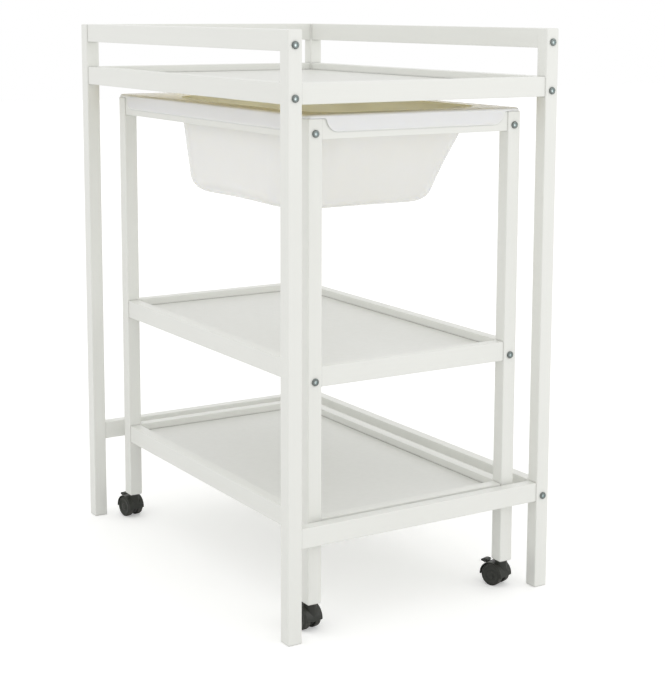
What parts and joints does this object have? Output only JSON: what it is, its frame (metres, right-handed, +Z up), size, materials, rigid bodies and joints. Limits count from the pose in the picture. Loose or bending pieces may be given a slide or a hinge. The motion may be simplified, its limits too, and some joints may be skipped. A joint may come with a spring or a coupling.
{
  "type": "changing table with bathtub",
  "caption": "Nursery changing table: a railed wooden stand with a bath trolley on braked casters parked inside it, with a lift-out bath and tray shelves.",
  "frame": {"origin": "on the floor, under the middle of the table's box", "axes": "+Z up; -Y is the open short side where the user stands; the trolley rolls out to -X"},
  "size_m": [0.54, 0.816, 1],
  "materials": {
    "paint": "satin white paint on beech",
    "board": "satin white lacquered fibreboard",
    "dowel_wood": "fluted beech",
    "zinc": "bright zinc plate",
    "steel": "turned steel",
    "bath_plastic": "moulded white polypropylene",
    "drain_plastic": "moulded white",
    "plug_rubber": "soft white",
    "nylon": "moulded black nylon"
  },
  "bodies": {
    "stand": {"guard_rail_left": "paint", "guard_rail_right": "paint", "guard_rail_back": "paint", "tray_rail_left": "paint", "tray_rail_right": "paint", "tray_rail_front": "paint", "tray_rail_back": "paint", "low_rail_right": "paint", "low_rail_front": "paint", "low_rail_back": "paint", "changing_board": "board", "stand_post_front_left": "paint", "stand_post_front_right": "paint", "stand_post_back_left": "paint", "stand_post_back_right": "paint", "stand_bolts": "zinc", "stand_barrel_nuts": "zinc", "stand_dowels": "dowel_wood"},
    "trolley": {"top_rail_left": "paint", "top_rail_right": "paint", "top_rail_front": "paint", "top_rail_back": "paint", "middle_rail_left": "paint", "middle_rail_right": "paint", "middle_rail_front": "paint", "middle_rail_back": "paint", "lower_rail_left": "paint", "lower_rail_right": "paint", "lower_rail_front": "paint", "lower_rail_back": "paint", "middle_shelf_board": "board", "lower_shelf_board": "board", "trolley_post_front_left": "paint", "trolley_post_front_right": "paint", "trolley_post_back_left": "paint", "trolley_post_back_right": "paint", "trolley_bolts": "zinc", "trolley_barrel_nuts": "zinc", "trolley_dowels": "dowel_wood", "caster_sockets": "nylon"},
    "bath": {"bathtub": "bath_plastic", "drain_fitting": "drain_plastic", "drain_nut": "drain_plastic"},
    "plug": {"drain_plug": "plug_rubber"},
    "caster_front_left": {"caster_hood_front_left": "nylon", "caster_stem_front_left": "steel"},
    "wheels_front_left": {"caster_wheels_front_left": "nylon"},
    "brake_front_left": {"caster_brake_front_left": "nylon"},
    "caster_front_right": {"caster_hood_front_right": "nylon", "caster_stem_front_right": "steel"},
    "wheels_front_right": {"caster_wheels_front_right": "nylon"},
    "brake_front_right": {"caster_brake_front_right": "nylon"},
    "caster_back_left": {"caster_hood_back_left": "nylon", "caster_stem_back_left": "steel"},
    "wheels_back_left": {"caster_wheels_back_left": "nylon"},
    "brake_back_left": {"caster_brake_back_left": "nylon"},
    "caster_back_right": {"caster_hood_back_right": "nylon", "caster_stem_back_right": "steel"},
    "wheels_back_right": {"caster_wheels_back_right": "nylon"},
    "brake_back_right": {"caster_brake_back_right": "nylon"}
  },
  "joints": [
    {"name": "trolley_roll", "type": "slide", "parent": "stand", "child": "trolley", "axis": [-1, 0, 0], "range_m": [-0.025, 0.6]},
    {"name": "bath_lift", "type": "slide", "parent": "trolley", "child": "bath", "axis": [0, 0, 1], "range_m": [0, 0.015]},
    {"name": "plug_pull", "type": "slide", "parent": "bath", "child": "plug", "axis": [0, 0, 1], "range_m": [0, 0.1]},
    {"name": "swivel_front_left", "type": "hinge", "parent": "trolley", "child": "caster_front_left", "pos_m": [-0.201, -0.361, 0.048], "axis": [0, 0, 1], "continuous": true},
    {"name": "spin_front_left", "type": "hinge", "parent": "caster_front_left", "child": "wheels_front_left", "pos_m": [-0.20267, -0.34912, 0.02], "axis": [0.9903, 0.1392, 0], "continuous": true},
    {"name": "brake_front_left", "type": "hinge", "parent": "caster_front_left", "child": "brake_front_left", "pos_m": [-0.20434, -0.33723, 0.0314], "axis": [-0.9903, -0.1392, 0], "range_deg": [0, 12]},
    {"name": "swivel_front_right", "type": "hinge", "parent": "trolley", "child": "caster_front_right", "pos_m": [0.201, -0.361, 0.048], "axis": [0, 0, 1], "continuous": true},
    {"name": "spin_front_right", "type": "hinge", "parent": "caster_front_right", "child": "wheels_front_right", "pos_m": [0.19729, -0.34959, 0.02], "axis": [0.9511, 0.309, 0], "continuous": true},
    {"name": "brake_front_right", "type": "hinge", "parent": "caster_front_right", "child": "brake_front_right", "pos_m": [0.19358, -0.33818, 0.0314], "axis": [-0.9511, -0.309, 0], "range_deg": [0, 12]},
    {"name": "swivel_back_left", "type": "hinge", "parent": "trolley", "child": "caster_back_left", "pos_m": [-0.201, 0.341, 0.048], "axis": [0, 0, 1], "continuous": true},
    {"name": "spin_back_left", "type": "hinge", "parent": "caster_back_left", "child": "wheels_back_left", "pos_m": [-0.20288, 0.35285, 0.02], "axis": [0.9877, 0.1564, 0], "continuous": true},
    {"name": "brake_back_left", "type": "hinge", "parent": "caster_back_left", "child": "brake_back_left", "pos_m": [-0.20475, 0.36471, 0.0314], "axis": [-0.9877, -0.1564, 0], "range_deg": [0, 12]},
    {"name": "swivel_back_right", "type": "hinge", "parent": "trolley", "child": "caster_back_right", "pos_m": [0.201, 0.341, 0.048], "axis": [0, 0, 1], "continuous": true},
    {"name": "spin_back_right", "type": "hinge", "parent": "caster_back_right", "child": "wheels_back_right", "pos_m": [0.19995, 0.35295, 0.02], "axis": [0.9962, 0.0872, 0], "continuous": true},
    {"name": "brake_back_right", "type": "hinge", "parent": "caster_back_right", "child": "brake_back_right", "pos_m": [0.19891, 0.36491, 0.0314], "axis": [-0.9962, -0.0872, 0], "range_deg": [0, 12]}
  ]
}
